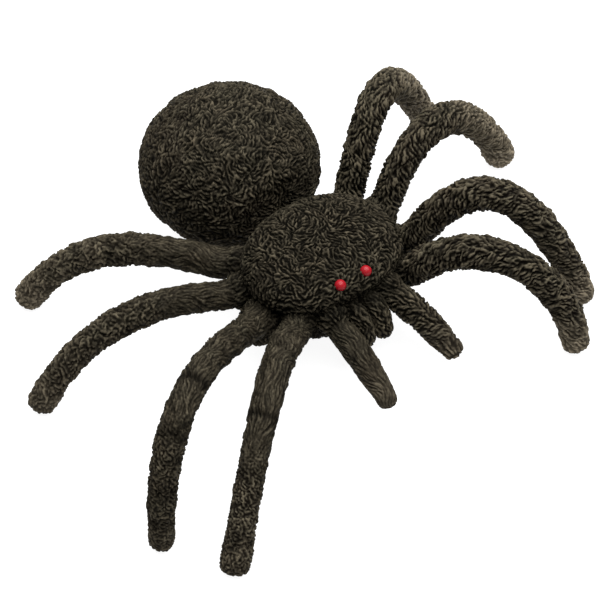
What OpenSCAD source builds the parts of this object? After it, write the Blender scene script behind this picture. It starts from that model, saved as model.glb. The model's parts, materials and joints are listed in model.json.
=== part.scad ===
// A poseable toy tarantula: black rubber skins with moulded fur over a pinned inner frame.
// Millimetres, +Z up. The floor is z = 0, the spider faces -Y and its right side is -X.
// Right legs are numbered 1 to 4 from front to rear, and left legs likewise.

/* [Carapace and sternum] */
// Half-width of the carapace, side to side
carapace_half_width = 30; // [28:0.5:31]
// Half-length of the carapace, front to rear
carapace_half_length = 24; // [23:0.5:27]
// Distance of the carapace's centre behind the origin
carapace_back = 4; // [2:0.5:5]
// Height of the carapace's dome above its flat underside
carapace_height = 12.8; // [9:0.2:16]
// How much higher the dome is at its rear edge than at its middle, as a share
carapace_slant = 0.33; // [0:0.01:0.4]
// Squareness of the body seen from above: 2 is an ellipse
body_power = 2.25; // [2:0.05:2.6]
// Squareness of the dome seen from the side: 2 is an ellipse
dome_power = 2.6; // [2:0.1:3]
// Depth of the sternum below the lower frame plate
sternum_depth = 10; // [6:0.5:12]
// How far the sternum's rim stays inside the carapace's
sternum_inset = 2; // [1.5:0.25:3]
// Half-width of the sternum's flat belly
belly_half_width = 13; // [8:0.5:18]

/* [Inner frame] */
// Height of the hip pivots above the floor
hip_height = 24; // [22:0.5:28]
// Thickness of each frame plate
plate_thickness = 2; // [1.5:0.25:2.5]
// Plate left round each pin hole
plate_rim = 1.4; // [1:0.1:2]
// Radius of the hip, pedipalp and waist pins
pin_radius = 1.2; // [1:0.05:1.4]
// Running clearance between a pin and the eye that turns on it
pin_clearance = 0.05; // [0.02:0.01:0.1]
// Height of the eyes that turn on the hip pins
eye_height = 6; // [5:0.25:7]
// Radius of those eyes
eye_radius = 3.2; // [2.8:0.1:3.6]
// Free play above and below an eye
eye_play = 0.2; // [0.1:0.05:0.3]
// Radius of the screws that hold the two plates together
screw_radius = 1.25; // [1:0.05:1.5]
// Radius of the screw heads
screw_head_radius = 2.4; // [2:0.1:3]
// Height of the screw heads
screw_head_height = 1.6; // [1:0.1:2.5]
// Radius of the spacer tubes on the screws
spacer_radius = 2.8; // [2.2:0.1:3.4]
// Sideways place of the screws
screw_x = 9; // [7.5:0.5:10]
// Front and rear places of the screws
screw_y = [-4, 11]; // [-6:0.5:13]

/* [Leg stance] */
// Distances of the hip pins inside the carapace's side edges, legs 1 to 4
hip_inset = [12, 4, 4, 10.5]; // [2.5:0.5:13]
// Front to rear places of the hip pins, legs 1 to 4
hip_y = [-7.5, 3, 13, 22]; // [-8:0.5:23]
// Headings of the right legs, in degrees from straight ahead
yaw_right = [50, 58, 100, 129]; // [46:1:132]
// Headings of the left legs
yaw_left = [38, 47, 100, 116]; // [35:1:120]
// Distances from hip pin to foot, right legs
reach_right = [99, 96, 82, 82]; // [76:1:106]
// Distances from hip pin to foot, left legs
reach_left = [73, 75, 81, 84]; // [68:1:92]
// Slopes of the right legs where they leave the body
rise_right = [40, 33, 26, 20]; // [15:1:50]
// Slopes of the left legs where they leave the body
rise_left = [56, 66, 68, 68]; // [50:1:70]
// Slopes of the right legs where they meet the floor
lean_right = [40, 86, 60, 58]; // [38:1:88]
// Slopes of the left legs where they meet the floor
lean_left = [80, 68, 64, 58]; // [50:1:84]
// How far the right thighs keep their first slope
bow_in_right = [44, 38, 28, 30]; // [24:1:50]
// How far the left thighs keep their first slope
bow_in_left = [37, 57, 52, 60]; // [32:1:64]
// How far the right shins keep their last slope
bow_out_right = [36, 74, 36, 36]; // [30:1:80]
// How far the left shins keep their last slope
bow_out_left = [37, 46, 42, 66]; // [32:1:70]
// Middle of the standing toy's outline, seen from above: it is moved to the origin
outline_middle = [-0.86, 9.59]; // [-5:0.01:15]

/* [Leg skins and bones] */
// Length of the level root of each leg, from its hip pin
shoulder = 11; // [9:0.5:12]
// Distance from the hip pin to the inner end of the thigh skin
skin_start = 5; // [4.6:0.1:6]
// Radius of the leg at its level root
root_radius = 4.2; // [3.6:0.1:4.6]
// Radius of the leg where it comes out from under the carapace
shoulder_radius = 5.2; // [4.4:0.1:5.6]
// Radius of the leg at the middle of the thigh
thigh_radius = 5.4; // [4.8:0.1:5.8]
// Radius of the leg just below the knee, which is the knee ball's too
knee_radius = 5.2; // [5:0.1:5.8]
// Radius of the leg at its slim ankle
ankle_radius = 4.6; // [4:0.1:5]
// Radius of the round foot
foot_radius = 5.2; // [4.6:0.1:5.8]
// Height of the moulded tufts of fur, from hollow to crest, on the right and left legs
tuft_height = [0.6, 1]; // [0.2:0.1:1.2]
// Depth that the foot is cut flat where it stands
foot_flat = 0.5; // [0.4:0.1:0.8]
// Gap between the knee ball and the thigh's cup
cup_gap = 0.35; // [0.3:0.05:0.5]
// Radius of the bones inside the skins
bone_radius = 1.8; // [1.5:0.1:1.9]
// Radius of the knee pins
knee_pin_radius = 1; // [0.8:0.05:1.2]
// Radius of the eye on the thigh bone's knee end
knee_eye_radius = 2.7; // [2.4:0.1:2.9]
// Width of that eye along the knee pin
knee_eye_width = 3; // [2.4:0.1:3.6]
// Gap on each side of the thigh bone in the shin bone's fork
fork_gap = 0.3; // [0.2:0.05:0.4]
// Thickness of each cheek of the fork
fork_cheek = 1.7; // [1.4:0.1:1.8]

/* [Abdomen and waist] */
// Half-width of the abdomen
abdomen_half_width = 34; // [30:0.5:36]
// Half-length of the abdomen
abdomen_half_length = 34; // [30:0.5:38]
// Half-height of the abdomen
abdomen_half_height = 28; // [24:0.5:30]
// Height of the abdomen's middle above the floor
abdomen_middle = 33; // [32:0.5:36]
// Depth that the abdomen's front is cut flat at the waist
abdomen_front_flat = 4; // [3.5:0.25:5]
// Gap between the carapace's rear edge and the abdomen
waist_gap = 3.5; // [2.5:0.25:5]
// Wall of the hollow abdomen
abdomen_wall = 4; // [3:0.25:6]
// Place of the waist pin, ahead of the carapace's rear edge
waist_pin_inset = 6; // [5:0.25:7]
// Radius of the eye on the waist link
waist_eye_radius = 2.8; // [2.4:0.1:3]
// Width of the waist link's eye
waist_eye_width = 7; // [5:0.25:9]
// Thickness of each cheek of the waist bracket
waist_cheek = 3; // [2:0.25:4]
// Gap on each side of the waist link in its bracket
waist_side_gap = 0.3; // [0.2:0.05:0.5]
// Radius of the waist link's stem
waist_stem_radius = 2; // [1.6:0.1:2.4]
// Radius of the button that holds the stem inside the abdomen
waist_button_radius = 6; // [4:0.25:8]
// Thickness of that button
waist_button_thickness = 2; // [1.5:0.25:3]

/* [Head] */
// Radius of the bead eyes
bead_radius = 2.1; // [1.6:0.1:2.6]
// Depth that each bead is sunk below the dome
bead_sink = 0.5; // [0.2:0.1:1]
// Radius of the beads' stems
bead_stem_radius = 0.8; // [0.6:0.05:1]
// Length of the beads' stems
bead_stem_length = 5; // [3.5:0.25:5.5]
// Sideways places of the right and left beads, which are set by hand
bead_x = [6.6, 4.8]; // [4.5:0.1:8]
// Distance of the beads behind the carapace's front edge
bead_back = 5.3; // [5:0.1:8]
// Sideways place of the pedipalp pins
palp_x = 12; // [11.5:0.25:12.5]
// Distance of the pedipalp pins behind the carapace's front edge
palp_back = 6; // [5.5:0.5:8]
// Headings of the right and left pedipalps, in degrees out from straight ahead
palp_yaw = [0, 17]; // [0:1:20]
// Lengths of the right and left pedipalps from pin to tip
palp_reach = [38, 35]; // [30:1:42]
// Height of the pedipalps' tips above the floor
palp_tip_height = 10; // [7:0.5:14]
// Greatest radius of a pedipalp
palp_radius = 5; // [4.2:0.1:5.2]
// Radius of a pedipalp near its tip
palp_tip_radius = 3.2; // [2:0.1:3.6]
// How much thicker a pedipalp is at its hand
palp_hand_extra = 1; // [0.5:0.1:1.5]
// Sideways place of each chelicera
chelicera_x = 3.5; // [3.4:0.1:4]
// Radius of a chelicera's lobe
chelicera_radius = 3.1; // [2.6:0.1:3.2]
// Distance of the chelicerae's round ends ahead of the carapace's front edge
lump_ahead = 6.5; // [4:0.25:7]
// Height of those round ends above the floor
lump_height = 13; // [11:0.5:15]
// Radius of those round ends
lump_radius = 2.7; // [2:0.1:3]
// Width of the tongue that holds a chelicera between the frame plates
chelicera_tongue_width = 3; // [2:0.25:4]
// Length of that tongue behind the plates' front edge
chelicera_tongue_length = 5; // [3:0.25:6]

/* [Hidden] */
$fn = 48;
RIGHT = 0;
LEFT = 1;
SIDES = [RIGHT, LEFT];
SIDE_NAMES = ["right", "left"];
LEG_NUMBERS = [1, 2, 3, 4];
LEG_PIECES = ["thigh_skin", "thigh_bone", "knee_pin", "shin_bone", "shin_skin"];
rubber = [0.13, 0.12, 0.1];
core_plastic = [0.35, 0.36, 0.38];
steel = [0.75, 0.76, 0.78];
bead_red = [0.67, 0.16, 0.18];

function leg_name(side, n, piece) = str(SIDE_NAMES[side], "_leg_", n, "_", piece);

// Levels of the frame, from the hip pivots outwards
eye_top = hip_height + eye_height / 2;
eye_bottom = hip_height - eye_height / 2;
upper_plate_bottom = eye_top + eye_play;
upper_plate_top = upper_plate_bottom + plate_thickness;
lower_plate_top = eye_bottom - eye_play;
lower_plate_bottom = lower_plate_top - plate_thickness;
frame_gap = upper_plate_bottom - lower_plate_top;
bore_radius = pin_radius + pin_clearance;
lug_radius = pin_radius + plate_rim;

// Places along the body
carapace_rear = carapace_back + carapace_half_length;
carapace_front = carapace_back - carapace_half_length;
hip_x = [for (inset = hip_inset) carapace_half_width - inset];
bead_ahead = carapace_half_length - bead_back;
palp_ahead = -carapace_front - palp_back;
waist_y = carapace_rear - waist_pin_inset;
abdomen_face = carapace_rear + waist_gap;
abdomen_y = abdomen_face - abdomen_front_flat + abdomen_half_length;

// Facets of the formed rubber pieces
oval_sides = 32;
dome_steps = 6;
limb_sides = 12;
limb_steps = 11;
palp_steps = 7;
bone_sides = 8;
bone_steps = 5;
cap_steps = 3;
overcut = 1;
far = 200;

// A stack of squarish ovals: each level is [height, share of the full oval]
ELLIPSE = 2;
function squared(value, power) = sign(value) * pow(abs(value), ELLIPSE / power);
function oval_ring(level, half_x, half_y, power, slant) = [
    for (k = [0 : oval_sides - 1])
        let (a = 360 * k / oval_sides, back = level[1] * squared(sin(a), power))
        [half_x * level[1] * squared(cos(a), power), half_y * back, level[0] * (1 + slant * back)]];

// Faces of a closed stack of rings, as triangles that face outwards
function stack_faces(rings, sides) = concat(
    [for (k = [1 : sides - 2]) [0, k, k + 1]],
    [for (r = [0 : rings - 2], k = [0 : sides - 1], half = [0, 1])
        let (a = r * sides + k, b = r * sides + (k + 1) % sides)
        half == 0 ? [a, a + sides, b] : [b, a + sides, b + sides]],
    [for (k = [1 : sides - 2])
        let (top = (rings - 1) * sides)
        [top, top + k + 1, top + k]]);

module oval_stack(levels, half_x, half_y, power = ELLIPSE, slant = 0) {
    polyhedron([for (level = levels) each oval_ring(level, half_x, half_y, power, slant)],
        stack_faces(len(levels), oval_sides));
}

// A squarish dome on its flat side, and a whole egg about its own middle.
// Each ends in a small flat at its pole, at this angle above its widest level.
pole = 86;
function dome_levels(height) = [
    for (k = [0 : dome_steps])
        let (a = pole * k / dome_steps)
        [height * squared(sin(a), dome_power), squared(cos(a), dome_power)]];
function egg_levels(half_height) = [
    for (k = [-dome_steps : dome_steps])
        let (a = pole * k / dome_steps)
        [half_height * sin(a), cos(a)]];

// A round limb through stations of [out, up, slope, radius] in its own upright plane.
// A fifth number, where a station has one, is how far its crests and hollows stand off by turns.
function turns(k) = k % 2 == 0 ? 1 : -1;
function relief(station, k) = len(station) > 4 ? turns(k) * station[4] : 0;
function limb_ring(station, sides) = [
    for (k = [0 : sides - 1])
        let (a = 360 * k / sides, r = station[3] + relief(station, k))
        [station[0] - r * sin(a) * sin(station[2]), r * cos(a),
         station[1] + r * sin(a) * cos(station[2])]];

module limb(stations, sides = limb_sides) {
    polyhedron([for (s = stations) each limb_ring(s, sides)], stack_faces(len(stations), sides));
}

// Stations that round off a limb's end: way is -1 before the station and 1 after it.
// The rounded end is closed with a small flat at this angle.
cap_pole = 80;
function cap_station(station, angle, way) = [
    station[0] + way * station[3] * sin(angle) * cos(station[2]),
    station[1] + way * station[3] * sin(angle) * sin(station[2]),
    station[2], station[3] * cos(angle)];
function cap_before(station) = [
    for (k = [cap_steps : -1 : 1]) cap_station(station, cap_pole * k / cap_steps, -1)];
function cap_after(station) = [
    for (k = [1 : cap_steps]) cap_station(station, cap_pole * k / cap_steps, 1)];

// A leg's values
function pick(side, right, left, n) = side == RIGHT ? right[n - 1] : left[n - 1];
function leg_yaw(side, n) = pick(side, yaw_right, yaw_left, n);
function leg_sign(side) = side == RIGHT ? -1 : 1;

// A leg's centreline: one smooth arch from its shoulder to its foot, as [out, up]
foot_height = foot_radius - foot_flat;
function arch_points(side, n) =
    let (rise = pick(side, rise_right, rise_left, n),
        lean = pick(side, lean_right, lean_left, n),
        bow_in = pick(side, bow_in_right, bow_in_left, n),
        bow_out = pick(side, bow_out_right, bow_out_left, n),
        start = [shoulder, hip_height],
        end = [pick(side, reach_right, reach_left, n), foot_height])
    [start, start + bow_in * [cos(rise), sin(rise)],
     end + bow_out * [-cos(lean), sin(lean)], end];
function arch(p, t) = pow(1 - t, 3) * p[0] + 3 * t * pow(1 - t, 2) * p[1]
    + 3 * t * t * (1 - t) * p[2] + pow(t, 3) * p[3];
function arch_run(p, t) = 3 * (pow(1 - t, 2) * (p[1] - p[0])
    + 2 * t * (1 - t) * (p[2] - p[1]) + t * t * (p[3] - p[2]));
function arch_slope(p, t) = atan2(arch_run(p, t)[1], arch_run(p, t)[0]);
function arch_station(p, t, r) = concat(arch(p, t), [arch_slope(p, t), r]);

// Shares of the arch: the knee, the thickest thigh, the end of the shin bone and the ankle
knee_t = 0.5;
thick_t = 0.25;
bone_end_t = 0.93;
ankle_t = 0.86;
function past_knee(p, distance) = knee_t + distance / norm(arch_run(p, knee_t));

function mix(a, b, share) = a + (b - a) * share;
function thigh_width(t) = t < thick_t
    ? mix(shoulder_radius, thigh_radius, sin(90 * t / thick_t))
    : mix(thigh_radius, knee_radius, (t - thick_t) / (knee_t - thick_t));
function shin_width(t) = t < ankle_t
    ? mix(knee_radius, ankle_radius, (t - knee_t) / (ankle_t - knee_t))
    : mix(ankle_radius, foot_radius, (t - ankle_t) / (1 - ankle_t));

// Rows of tufts along a skin, with plain rows beside the knee and at the foot
plain_rows = 2;
function row_relief(k, first, last, tuft) = k < first || k > last ? 0 : turns(k) * tuft / 2;

function thigh_stations(p, tuft) = concat(
    [[skin_start, hip_height, 0, root_radius],
     [shoulder, hip_height, arch_slope(p, 0) / 2, shoulder_radius]],
    [for (k = [1 : limb_steps])
        let (t = knee_t * k / limb_steps)
        concat(arch_station(p, t, thigh_width(t)),
            [row_relief(k, plain_rows, limb_steps - plain_rows, tuft)])]);
function shin_stations(p, tuft) =
    let (rings = [for (k = [0 : limb_steps])
            let (t = mix(knee_t, 1, k / limb_steps))
            concat(arch_station(p, t, shin_width(t)),
                [row_relief(k, plain_rows, limb_steps - 1, tuft)])])
    concat(cap_before(rings[0]), rings, cap_after(rings[limb_steps]));

// Place a child in a limb's own upright plane: X runs out from the pivot and Z runs up
module limb_frame(x, y, side, yaw) {
    translate([leg_sign(side) * x, y, 0])
        rotate([0, 0, atan2(-cos(yaw), leg_sign(side) * sin(yaw))])
        children();
}

module leg_frame(side, n) {
    limb_frame(hip_x[n - 1], hip_y[n - 1], side, leg_yaw(side, n)) children();
}

// The knee's own frame: X along the leg at the knee and Y along the knee pin
module knee_frame(p) {
    k = arch(p, knee_t);
    translate([k[0], 0, k[1]]) rotate([0, -arch_slope(p, knee_t), 0]) children();
}

// Disc across the knee, centred on the pin's axis
module knee_disc(r, width) {
    rotate([90, 0, 0]) cylinder(h = width, r = r, center = true);
}

// The shin bone's fork, which straddles the thigh bone's eye
fork_slot = 2 * bone_radius + 2 * fork_gap;
fork_width = fork_slot + 2 * fork_cheek;
fork_reach = knee_eye_radius + fork_gap;
fork_bridge = 1.8;
fork_half_height = 2.2;

// The open slot of the fork, which faces the thigh
module fork_slot_cut() {
    translate([-far, -fork_slot / 2, -far / 2]) cube([far + fork_reach, fork_slot, far]);
}

module fork_solid() {
    knee_disc(knee_eye_radius, fork_width);
    translate([0, -fork_width / 2, -fork_half_height])
        cube([fork_reach + fork_bridge, fork_width, 2 * fork_half_height]);
}

// The bones' shafts, whose ends lie within the walls of the eyes and the bridge of the fork
hip_wall_middle = (bore_radius + eye_radius) / 2;
knee_wall_middle = (knee_pin_radius + pin_clearance + knee_eye_radius) / 2;

function shaft(p, from_t, to_t) = [
    for (k = [0 : bone_steps]) arch_station(p, mix(from_t, to_t, k / bone_steps), bone_radius)];

module thigh_shaft(p) {
    along = shaft(p, 0, past_knee(p, -knee_wall_middle));
    limb(concat(
        [[hip_wall_middle, hip_height, 0, bone_radius],
         [shoulder, hip_height, arch_slope(p, 0) / 2, bone_radius]],
        [for (k = [1 : bone_steps]) along[k]]), bone_sides);
}

module shin_shaft(p) {
    limb(shaft(p, past_knee(p, fork_reach + fork_bridge / 2), bone_end_t), bone_sides);
}

// The eye that turns on a pin between the two frame plates
module hip_eye() {
    translate([0, 0, eye_bottom]) cylinder(h = eye_height, r = eye_radius);
}

module hip_bore() {
    translate([0, 0, eye_bottom - overcut])
        cylinder(h = eye_height + 2 * overcut, r = bore_radius);
}

module thigh_skin(side, n) {
    p = arch_points(side, n);
    color(rubber) leg_frame(side, n) difference() {
        limb(thigh_stations(p, tuft_height[side]));
        thigh_shaft(p);
        knee_frame(p) knee_disc(knee_radius + cup_gap, far);
    }
}

module thigh_bone(side, n) {
    p = arch_points(side, n);
    color(core_plastic) leg_frame(side, n) difference() {
        union() {
            hip_eye();
            thigh_shaft(p);
            knee_frame(p) knee_disc(knee_eye_radius, knee_eye_width);
        }
        hip_bore();
        knee_frame(p) knee_disc(knee_pin_radius + pin_clearance, far);
    }
}

module knee_pin(side, n) {
    p = arch_points(side, n);
    color(steel) leg_frame(side, n) knee_frame(p) knee_disc(knee_pin_radius, fork_width);
}

module shin_bone(side, n) {
    p = arch_points(side, n);
    color(core_plastic) leg_frame(side, n) {
        shin_shaft(p);
        knee_frame(p) difference() {
            fork_solid();
            fork_slot_cut();
            knee_disc(knee_pin_radius, far);
        }
    }
}

module shin_skin(side, n) {
    p = arch_points(side, n);
    color(rubber) leg_frame(side, n) difference() {
        limb(shin_stations(p, tuft_height[side]));
        shin_shaft(p);
        knee_frame(p) {
            fork_solid();
            fork_slot_cut();
        }
        translate([-far, -far, -far]) cube([2 * far, 2 * far, far]);
    }
}

// The body's frame: two plates, four spacers and screws, and a pin for each limb
PIN_PLACES = concat(
    [for (side = SIDES, n = LEG_NUMBERS) [leg_sign(side) * hip_x[n - 1], hip_y[n - 1]]],
    [for (side = SIDES) [leg_sign(side) * palp_x, -palp_ahead]]);
SCREW_PLACES = [for (side = SIDES, y = screw_y) [leg_sign(side) * screw_x, y]];
PLATE_OUTLINE = concat(
    [[-palp_x, -palp_ahead], [palp_x, -palp_ahead]],
    [for (n = LEG_NUMBERS) [hip_x[n - 1], hip_y[n - 1]]],
    [for (n = [4 : -1 : 1]) [-hip_x[n - 1], hip_y[n - 1]]]);

module at_places(places) {
    for (place = places) translate([place[0], place[1], 0]) children();
}

module plate_outline() {
    polygon(PLATE_OUTLINE);
    at_places(PIN_PLACES) circle(r = lug_radius);
}

// A frame plate, drilled for its pins and screws
module plate(bottom) {
    difference() {
        translate([0, 0, bottom]) linear_extrude(plate_thickness) plate_outline();
        at_places(PIN_PLACES) translate([0, 0, bottom - overcut])
            cylinder(h = plate_thickness + 2 * overcut, r = pin_radius);
        at_places(SCREW_PLACES) translate([0, 0, bottom - overcut])
            cylinder(h = plate_thickness + 2 * overcut, r = screw_radius);
    }
}

module frame_upper() {
    color(core_plastic) plate(upper_plate_bottom);
}

module frame_lower() {
    color(core_plastic) plate(lower_plate_bottom);
}

module frame_spacers() {
    color(core_plastic) at_places(SCREW_PLACES) difference() {
        translate([0, 0, lower_plate_top]) cylinder(h = frame_gap, r = spacer_radius);
        translate([0, 0, lower_plate_top - overcut])
            cylinder(h = frame_gap + 2 * overcut, r = screw_radius + pin_clearance);
    }
}

module screw_head(room) {
    translate([0, 0, lower_plate_bottom - screw_head_height - room])
        cylinder(h = screw_head_height + room, r = screw_head_radius + room);
}

module frame_screws() {
    color(steel) at_places(SCREW_PLACES) {
        screw_head(0);
        translate([0, 0, lower_plate_bottom])
            cylinder(h = upper_plate_top - lower_plate_bottom, r = screw_radius);
    }
}

module hip_pins() {
    color(steel) at_places(PIN_PLACES) translate([0, 0, lower_plate_bottom])
        cylinder(h = upper_plate_top - lower_plate_bottom, r = pin_radius);
}

// The waist: a bracket between the plates, its pin, and the link that carries the abdomen
bracket_half_width = waist_eye_width / 2 + waist_side_gap + waist_cheek;
bracket_front = waist_y - waist_eye_radius - waist_cheek;
bracket_rear = waist_y + waist_eye_radius;
waist_eye_room = waist_eye_radius + 2 * waist_side_gap;

module waist_axis(h, r) {
    translate([0, waist_y, hip_height]) rotate([0, 90, 0]) cylinder(h = h, r = r, center = true);
}

module waist_bracket() {
    slot = waist_eye_width + 2 * waist_side_gap;
    color(core_plastic) difference() {
        translate([-bracket_half_width, bracket_front, lower_plate_top])
            cube([2 * bracket_half_width, bracket_rear - bracket_front, frame_gap]);
        translate([-slot / 2, waist_y - waist_eye_room, lower_plate_top - overcut])
            cube([slot, far, frame_gap + 2 * overcut]);
        waist_axis(far, pin_radius);
    }
}

module waist_pin() {
    color(steel) waist_axis(2 * bracket_half_width, pin_radius);
}

// The stem that goes through the abdomen's front wall, and the button inside it
button_face = abdomen_face + abdomen_wall;

module waist_stem() {
    translate([0, waist_y, hip_height]) rotate([-90, 0, 0])
        cylinder(h = button_face + waist_button_thickness - waist_y, r = waist_stem_radius);
}

module waist_button() {
    translate([0, button_face, hip_height]) rotate([-90, 0, 0])
        cylinder(h = waist_button_thickness, r = waist_button_radius);
}

module waist_link() {
    color(core_plastic) difference() {
        union() {
            waist_axis(waist_eye_width, waist_eye_radius);
            waist_stem();
            waist_button();
        }
        waist_axis(far, bore_radius);
    }
}

// The hollow egg of the abdomen, cut flat at the waist inside and out
module abdomen_egg(wall) {
    intersection() {
        translate([0, abdomen_y, abdomen_middle])
            oval_stack(egg_levels(abdomen_half_height - wall),
                abdomen_half_width - wall, abdomen_half_length - wall);
        translate([-far, abdomen_face + wall, -far]) cube(2 * far);
    }
}

module abdomen() {
    color(rubber) difference() {
        abdomen_egg(0);
        abdomen_egg(abdomen_wall);
        waist_stem();
        waist_button();
    }
}

// The height of the dome at a place given as shares of its half-width and half-length
function body_share(x, y) = pow(pow(abs(x), body_power) + pow(abs(y), body_power), 1 / body_power);
function dome_rise(x, y) = carapace_height * (1 + carapace_slant * y)
    * pow(1 - pow(body_share(x, y), dome_power), 1 / dome_power);

// The bead eyes stand on the front of the dome
bead_y = carapace_back - bead_ahead;
function bead_z(side) = upper_plate_top - bead_sink
    + dome_rise(bead_x[side] / carapace_half_width, -bead_ahead / carapace_half_length);

module bead(side) {
    translate([leg_sign(side) * bead_x[side], bead_y, bead_z(side)]) {
        sphere(r = bead_radius);
        translate([0, 0, -bead_stem_length]) cylinder(h = bead_stem_length, r = bead_stem_radius);
    }
}

module bead_eye(side) {
    color(bead_red) bead(side);
}

module carapace() {
    color(rubber) difference() {
        translate([0, carapace_back, upper_plate_top])
            oval_stack(dome_levels(carapace_height), carapace_half_width, carapace_half_length,
                body_power, carapace_slant);
        for (side = SIDES) bead(side);
    }
}

// The sternum closes the body below, with room for the screw heads
body_room = 0.2;
module sternum() {
    half_width = carapace_half_width - sternum_inset;
    belly_share = belly_half_width / half_width;
    color(rubber) difference() {
        translate([0, carapace_back, lower_plate_bottom])
            oval_stack([for (k = [dome_steps : -1 : 0])
                let (a = 90 * k / dome_steps)
                [-sternum_depth * sin(a), mix(belly_share, 1, cos(a))]],
                half_width, carapace_half_length - sternum_inset, body_power);
        at_places(SCREW_PLACES) screw_head(body_room);
    }
}

// The chelicerae stand out ahead of the plates, each on a tongue, and end in a round lump
lobe_start = palp_ahead + body_room;
lobe_full = lobe_start + chelicera_radius;
lobe_end_radius = mix(lump_radius, chelicera_radius, 2 / 3);
lump_out = lump_ahead - carapace_front - lump_radius;
lump_slope = -80;
brow_share = 0.4;
brow_slope = -40;
lump_root_share = 0.75;
lump_root_slope = -60;

module chelicera(side) {
    brow = [mix(lobe_full, lump_out, brow_share), mix(hip_height, lump_height, brow_share / 2)];
    tip = [lump_out, lump_height + lump_radius];
    lump_root = [mix(brow[0], tip[0], lump_root_share), mix(brow[1], tip[1], 1 / 2)];
    lump = concat(tip, [lump_slope, lump_radius]);
    color(rubber) translate([leg_sign(side) * chelicera_x, 0, 0]) rotate([0, 0, -90]) {
        limb(concat(
            [[lobe_start, hip_height, 0, lobe_end_radius],
             [lobe_full, hip_height, 0, chelicera_radius],
             concat(brow, [brow_slope, chelicera_radius]),
             concat(lump_root, [lump_root_slope, lobe_end_radius]),
             lump],
            cap_after(lump)));
        translate([palp_ahead - chelicera_tongue_length, -chelicera_tongue_width / 2, lower_plate_top])
            cube([chelicera_tongue_length + chelicera_radius, chelicera_tongue_width, frame_gap]);
    }
}

// A pedipalp: a short tapering arm that reaches forward and down from its own pin
palp_neck_share = 0.3;
palp_hand_share = 0.8;
palp_bone_share = 0.85;
palp_share_step = 0.01;
palp_hand_radius = palp_tip_radius + palp_hand_extra;

function palp_line(side) = [[0, hip_height], [palp_reach[side] - palp_tip_radius, palp_tip_height]];
function palp_point(side, share) =
    let (line = palp_line(side), swell = sin(180 * share))
    mix(line[0], line[1], share) + [0, palp_radius / 2 * swell];
function palp_slope(side, share) =
    let (step = palp_point(side, share + palp_share_step)
            - palp_point(side, share - palp_share_step))
    atan2(step[1], step[0]);
function palp_width(share) = share < palp_neck_share
    ? mix(root_radius, palp_radius, share / palp_neck_share)
    : share < palp_hand_share
    ? mix(palp_radius, palp_hand_radius,
        (share - palp_neck_share) / (palp_hand_share - palp_neck_share))
    : mix(palp_hand_radius, palp_tip_radius, (share - palp_hand_share) / (1 - palp_hand_share));

module palp_frame(side) {
    limb_frame(palp_x, -palp_ahead, side, palp_yaw[side]) children();
}

function palp_station(side, share, r) =
    concat(palp_point(side, share), [palp_slope(side, share), r]);

module palp_shaft(side) {
    first = hip_wall_middle / palp_reach[side];
    limb([for (k = [0 : bone_steps])
        palp_station(side, mix(first, palp_bone_share, k / bone_steps), bone_radius)], bone_sides);
}

module pedipalp(side) {
    first = skin_start / palp_reach[side];
    rings = [for (k = [0 : palp_steps])
        let (share = mix(first, 1, k / palp_steps))
        palp_station(side, share, palp_width(share))];
    color(rubber) palp_frame(side) difference() {
        limb(concat(rings, cap_after(rings[palp_steps])));
        palp_shaft(side);
    }
}

module pedipalp_bone(side) {
    color(core_plastic) palp_frame(side) difference() {
        union() {
            hip_eye();
            palp_shaft(side);
        }
        hip_bore();
    }
}

translate([-outline_middle[0], -outline_middle[1], 0]) {
    carapace();
    sternum();
    frame_upper();
    frame_lower();
    frame_spacers();
    frame_screws();
    hip_pins();
    waist_bracket();
    waist_pin();
    waist_link();
    abdomen();
    for (side = SIDES) {
        bead_eye(side);
        chelicera(side);
        pedipalp(side);
        pedipalp_bone(side);
    }
    for (side = SIDES, n = LEG_NUMBERS) {
        thigh_skin(side, n);
        thigh_bone(side, n);
        knee_pin(side, n);
        shin_bone(side, n);
        shin_skin(side, n);
    }
}
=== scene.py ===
# %% [markdown]
# # A rubber toy tarantula, dressed in Blender
# The imported model gives the bodies, the pins and the plain rubber solids. This lesson puts the
# looks on them: moulded fur, bead eyes, soft leg sleeves, and the studio.
# Everything is worked out in millimetres about the spider's own middle, and one helper turns
# that into metres in the frame of the imported model.

# %% Load the frame
import json
import math

import bpy
import numpy as np
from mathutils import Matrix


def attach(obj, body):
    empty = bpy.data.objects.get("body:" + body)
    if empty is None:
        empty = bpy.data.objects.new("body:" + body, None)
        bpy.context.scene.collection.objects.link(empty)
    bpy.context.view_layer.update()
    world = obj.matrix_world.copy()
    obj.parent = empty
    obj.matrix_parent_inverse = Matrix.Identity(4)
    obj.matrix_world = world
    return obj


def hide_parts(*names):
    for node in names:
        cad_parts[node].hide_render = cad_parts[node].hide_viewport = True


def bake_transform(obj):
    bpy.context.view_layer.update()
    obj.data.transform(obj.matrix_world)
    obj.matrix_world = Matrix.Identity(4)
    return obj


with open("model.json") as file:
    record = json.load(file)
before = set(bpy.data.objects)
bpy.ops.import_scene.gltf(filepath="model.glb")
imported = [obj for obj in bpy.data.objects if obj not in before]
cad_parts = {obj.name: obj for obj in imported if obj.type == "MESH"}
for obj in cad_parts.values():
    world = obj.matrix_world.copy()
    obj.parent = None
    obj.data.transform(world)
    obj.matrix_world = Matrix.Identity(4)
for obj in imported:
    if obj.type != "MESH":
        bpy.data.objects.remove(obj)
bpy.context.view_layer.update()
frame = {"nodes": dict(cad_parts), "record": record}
MILLIMETRE = 0.001
FRAME_ORIGIN = np.array([-0.86, 9.59, 0.0])


def in_frame(points):
    """Millimetres about the spider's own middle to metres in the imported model's frame: take off the
    place of that frame's origin, and scale."""
    return (np.asarray(points, float) - FRAME_ORIGIN) * MILLIMETRE


# %% [markdown]
# ## Camera
# The photograph looks down on the toy from ahead of its right side, from far enough away that the
# legs hardly shrink with distance. A camera could be aimed by eye, but this one's place and long
# lens come from fitting the eight feet, the knees and the eyes, so the outlines agree.

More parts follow.
